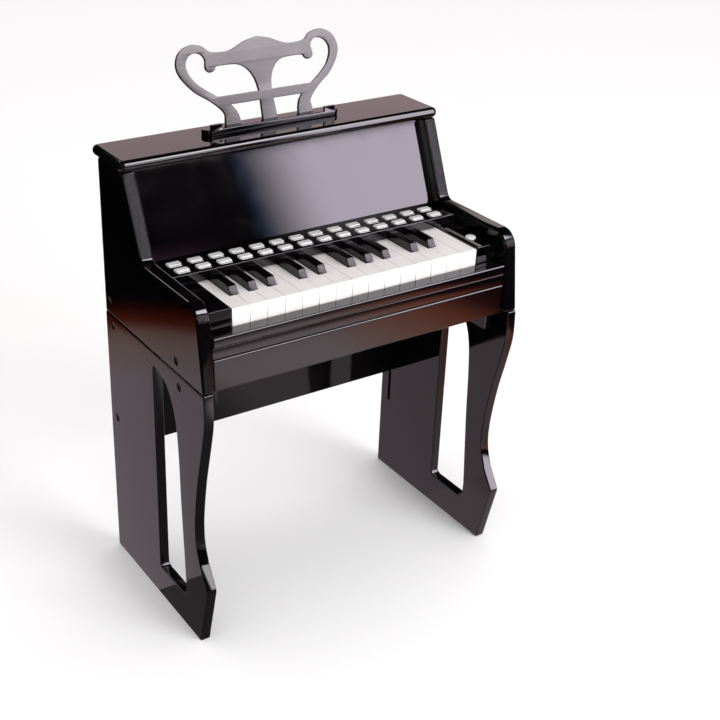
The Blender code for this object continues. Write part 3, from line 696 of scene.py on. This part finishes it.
# name, centre, width, height, target, colour, strength and soft sides of the cards in the lacquer
REFLECTED_CARDS = (
    ("upper", (1.45, -1.99, 2.04), 1.90, 1.10, STRAIGHT, (1.0, 0.91, 0.94), 13.0, (0.1, 0.20, 0.12, 0.1)),
    ("dusk", (0.40, -2.02, 1.12), 1.30, 0.30, STRAIGHT, (1.0, 0.42, 0.75), 0.9, (0.3, 0.2, 0.4, 0.4)),
    ("edge", (1.25, -1.50, 2.45), 2.20, 1.30, MIDDLE, (0.95, 0.90, 1.0), 15.0, (0.4, 0.2, 0.2, 0.2)),
    ("strip", (-1.55, -1.95, 1.25), 0.35, 0.80, MIDDLE, (1.0, 0.97, 0.95), 7.0, (0.2, 0.2, 0.2, 0.2)),
    ("slope", (0.74, -1.98, 0.90), 0.60, 0.50, STRAIGHT, (1.0, 0.94, 0.95), 8.0, (0.2, 0.2, 0.25, 0.25)),
    ("rim", (-0.45, 1.90, 1.80), 0.90, 0.35, MIDDLE, (1.0, 0.90, 0.85), 5.0, (0.2, 0.2, 0.2, 0.2)),
    ("back", (1.50, 2.30, 0.95), 3.40, 1.20, STRAIGHT, (1.0, 0.76, 0.80), 1.0, (0.05, 0.05, 0.05, 0.15)),
    ("arm", (2.47, 2.25, 1.62), 0.80, 0.40, STRAIGHT, (1.0, 0.86, 0.86), 1.3, (0.1, 0.05, 0.2, 0.1)),
)


def floor():
    """Pale floor that the camera sees."""
    pale = Surface("pale_floor")
    pale.colour(pale.ramp(pale.noise(3.0), (0.3, (0.90, 0.895, 0.895)), (0.7, (0.92, 0.915, 0.915))))
    pale.rough(pale.span(pale.noise(8.0), 0.85, 0.95))
    card("floor", (0.0, 0.0, 0.0), 40.0, 40.0, (0.0, 0.0, 1.0), pale.material, glossy=False)


def front_sheet():
    """Glowing floor that the fronts mirror: warmer and darker to the right, bright in the middle."""
    front = Surface("front_sheet_glow")
    x, y, _ = front.world_xyz()
    tint = front.ramp(x, (0.02, (0.22, 0.185, 0.195)), (0.13, (1.0, 0.84, 0.88)),
                      (0.32, (1.0, 0.84, 0.88)), (0.47, (0.95, 0.45, 0.34)),
                      (0.58, (0.70, 0.20, 0.12)), (0.66, (0.13, 0.02, 0.012)),
                      (0.76, (0.001, 0.001, 0.001)))
    near = front.span(y, 0.66, 1.9, -0.30, -0.62, smooth=True)
    far = front.span(y, 1.0, 0.25, -0.70, -0.86, smooth=True)
    front.glow_with(tint, front.maths("MULTIPLY", near, far))
    card("front_sheet", (0.3, -0.75, 0.0), 2.0, 1.5, (0.3, -0.75, 1.0), front.material, **GLOSSY_ONLY)


def side_sheet():
    """Glowing floor that the sides mirror: it turns brown and black further out."""
    side = Surface("side_sheet_glow")
    side.glow_with(side.ramp(side.distance_from((0.03, -0.05, 0.0)), (0.70, (1.0, 0.80, 0.90)),
                             (0.81, (0.95, 0.68, 0.66)), (0.86, (0.83, 0.50, 0.42)),
                             (0.905, (0.39, 0.05, 0.02)), (0.96, (0.08, 0.009, 0.002)),
                             (1.0, (0.001, 0.001, 0.001))), 0.60)
    card("side_sheet", (0.0, 0.75, 0.0), 3.0, 1.5, (0.0, 0.75, 1.0), side.material, **GLOSSY_ONLY)


def cards():
    """Softbox at the front right, the smaller cards that the lacquer mirrors, and the fill light."""
    key = glow("key_glow", (0.94, 0.84, 1.0), 10.0, (0.1, 0.18, 0.1, 0.1), (0.10, 0.42, 1.0))
    card("softbox", (1.97, -2.0, 1.12), 1.78, 2.2, (1.97, 0.0, 1.12), key, **GLOSSY_ONLY)
    for name, centre, width, height, target, colour, strength, fade in REFLECTED_CARDS:
        target = target or (centre[0], 0.0, centre[2])
        card(name + "_card", centre, width, height, target,
             glow(name + "_glow", colour, strength, fade), **GLOSSY_ONLY)
    fill = glow("fill_glow", (0.99, 1.0, 1.0), 9.0, (0.1, 0.1, 0.1, 0.1))
    card("fill_card", (0.9, -2.4, 1.0), 1.8, 1.6, (0.0, 0.0, 0.4), fill, camera=False, glossy=False)


def surroundings():
    """White surroundings that light the object but hardly show in the lacquer."""
    world = bpy.data.worlds.new("world")
    bpy.context.scene.world = world
    world.use_nodes = True
    tree = world.node_tree
    background = tree.nodes["Background"]
    background.inputs["Color"].default_value = (1.0, 0.985, 0.985, 1.0)
    ray = tree.nodes.new("ShaderNodeLightPath")
    level = tree.nodes.new("ShaderNodeMapRange")
    level.inputs["To Min"].default_value = 1.05
    level.inputs["To Max"].default_value = 0.01
    tree.links.new(ray.outputs["Is Glossy Ray"], level.inputs["Value"])
    tree.links.new(level.outputs["Result"], background.inputs["Strength"])


floor()
front_sheet()
side_sheet()
cards()
surroundings()
